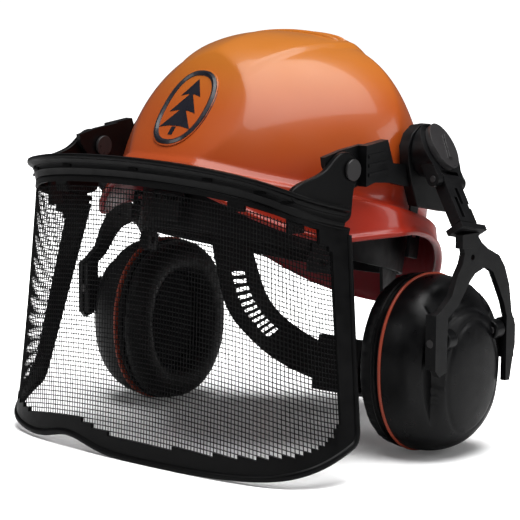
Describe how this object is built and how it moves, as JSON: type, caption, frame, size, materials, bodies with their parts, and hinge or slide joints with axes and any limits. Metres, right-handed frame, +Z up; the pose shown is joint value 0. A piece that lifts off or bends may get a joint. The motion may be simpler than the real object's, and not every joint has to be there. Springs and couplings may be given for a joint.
{
  "type": "forestry helmet",
  "caption": "Forestry helmet with glossy hard shell and cradle, swing-up mesh face visor, and ear defenders on sprung arms that swing out and adjust for height.",
  "frame": {"origin": "centre of the footprint's symmetry line, at the floor: X = 0 is the symmetry plane, Y = 0 lies just ahead of the crown, Z = 0 is the floor the helmet rests on", "axes": "+Z up, -Y the way the wearer faces, +X the wearer's left; the helmet rests pitched back 12 degrees on its visor and ear cups"},
  "size_m": [0.3088, 0.2468, 0.2534],
  "materials": {
    "shell_abs": "glossy orange moulded shell",
    "badge": "printed dark badge",
    "black_moulding": "fine-grained black",
    "peak_moulding": "smooth satin black",
    "hardware": "turned steel, dark",
    "mesh": "black coated wire mesh",
    "cradle": "black flexible moulding",
    "sweat_fabric": "dark absorbent fabric",
    "webbing": "woven black webbing",
    "foam": "open-cell grey foam",
    "cup_moulding": "fine-grained black",
    "trim": "coral trim",
    "cushion_skin": "soft black skin"
  },
  "bodies": {
    "shell_body": {"shell": "shell_abs", "crown_emblem": "badge", "slot_carrier_left": "black_moulding", "slot_carrier_right": "black_moulding", "visor_bracket_left": "black_moulding", "visor_bracket_right": "black_moulding", "visor_pivot_pin_left": "hardware", "visor_pivot_pin_right": "hardware", "headband": "cradle", "chin_lug_left": "cradle", "chin_lug_right": "cradle", "sweatband": "sweat_fabric", "crown_strap_a": "webbing", "crown_strap_b": "webbing", "crown_strap_c": "webbing", "crown_pad": "foam", "cradle_anchors": "cradle", "nape_strap": "cradle", "nape_buckle": "cradle", "hub_pin_left": "hardware", "hub_pin_right": "hardware"},
    "visor": {"visor_peak": "peak_moulding", "visor_frame": "peak_moulding", "visor_mesh": "mesh", "visor_clips": "black_moulding"},
    "hub_left_body": {"hub_left": "black_moulding", "hub_cover_left": "black_moulding", "arm_pin_left": "hardware"},
    "arm_left_body": {"arm_left": "black_moulding"},
    "yoke_left_body": {"yoke_left": "black_moulding", "cup_pins_left": "hardware"},
    "cup_left_body": {"cup_left": "cup_moulding", "cup_trim_left": "trim", "seal_plate_left": "cradle", "ear_cushion_left": "cushion_skin", "cup_foam_left": "foam"},
    "hub_right_body": {"hub_right": "black_moulding", "hub_cover_right": "black_moulding", "arm_pin_right": "hardware"},
    "arm_right_body": {"arm_right": "black_moulding"},
    "yoke_right_body": {"yoke_right": "black_moulding", "cup_pins_right": "hardware"},
    "cup_right_body": {"cup_right": "cup_moulding", "cup_trim_right": "trim", "seal_plate_right": "cradle", "ear_cushion_right": "cushion_skin", "cup_foam_right": "foam"}
  },
  "joints": [
    {"name": "visor_lift", "type": "hinge", "parent": "shell_body", "child": "visor", "pos_m": [0, -0.072, 0.1776], "axis": [-1, 0, 0], "range_deg": [0, 75]},
    {"name": "muff_park_left", "type": "hinge", "parent": "shell_body", "child": "hub_left_body", "pos_m": [0.115, -0.00529, 0.18453], "axis": [1, 0, 0], "range_deg": [-8, 1]},
    {"name": "muff_swing_left", "type": "hinge", "parent": "hub_left_body", "child": "arm_left_body", "pos_m": [0.12917, -0.00864, 0.16729], "axis": [0, -0.9816, 0.1908], "range_deg": [0, 30]},
    {"name": "cup_height_left", "type": "slide", "parent": "arm_left_body", "child": "yoke_left_body", "axis": [0.5736, -0.1563, -0.8041], "range_m": [-0.0015, 0.012]},
    {"name": "cup_tilt_left", "type": "hinge", "parent": "yoke_left_body", "child": "cup_left_body", "pos_m": [0.147, -0.004, 0.076], "axis": [0, -1, 0], "range_deg": [-8, 8]},
    {"name": "muff_park_right", "type": "hinge", "parent": "shell_body", "child": "hub_right_body", "pos_m": [-0.115, -0.00529, 0.18453], "axis": [1, 0, 0], "range_deg": [-8, 1]},
    {"name": "muff_swing_right", "type": "hinge", "parent": "hub_right_body", "child": "arm_right_body", "pos_m": [-0.12917, -0.00864, 0.16729], "axis": [0, 0.9816, -0.1908], "range_deg": [0, 30]},
    {"name": "cup_height_right", "type": "slide", "parent": "arm_right_body", "child": "yoke_right_body", "axis": [-0.5736, -0.1563, -0.8041], "range_m": [-0.0015, 0.012]},
    {"name": "cup_tilt_right", "type": "hinge", "parent": "yoke_right_body", "child": "cup_right_body", "pos_m": [-0.147, -0.004, 0.076], "axis": [0, 1, 0], "range_deg": [-8, 8]}
  ]
}
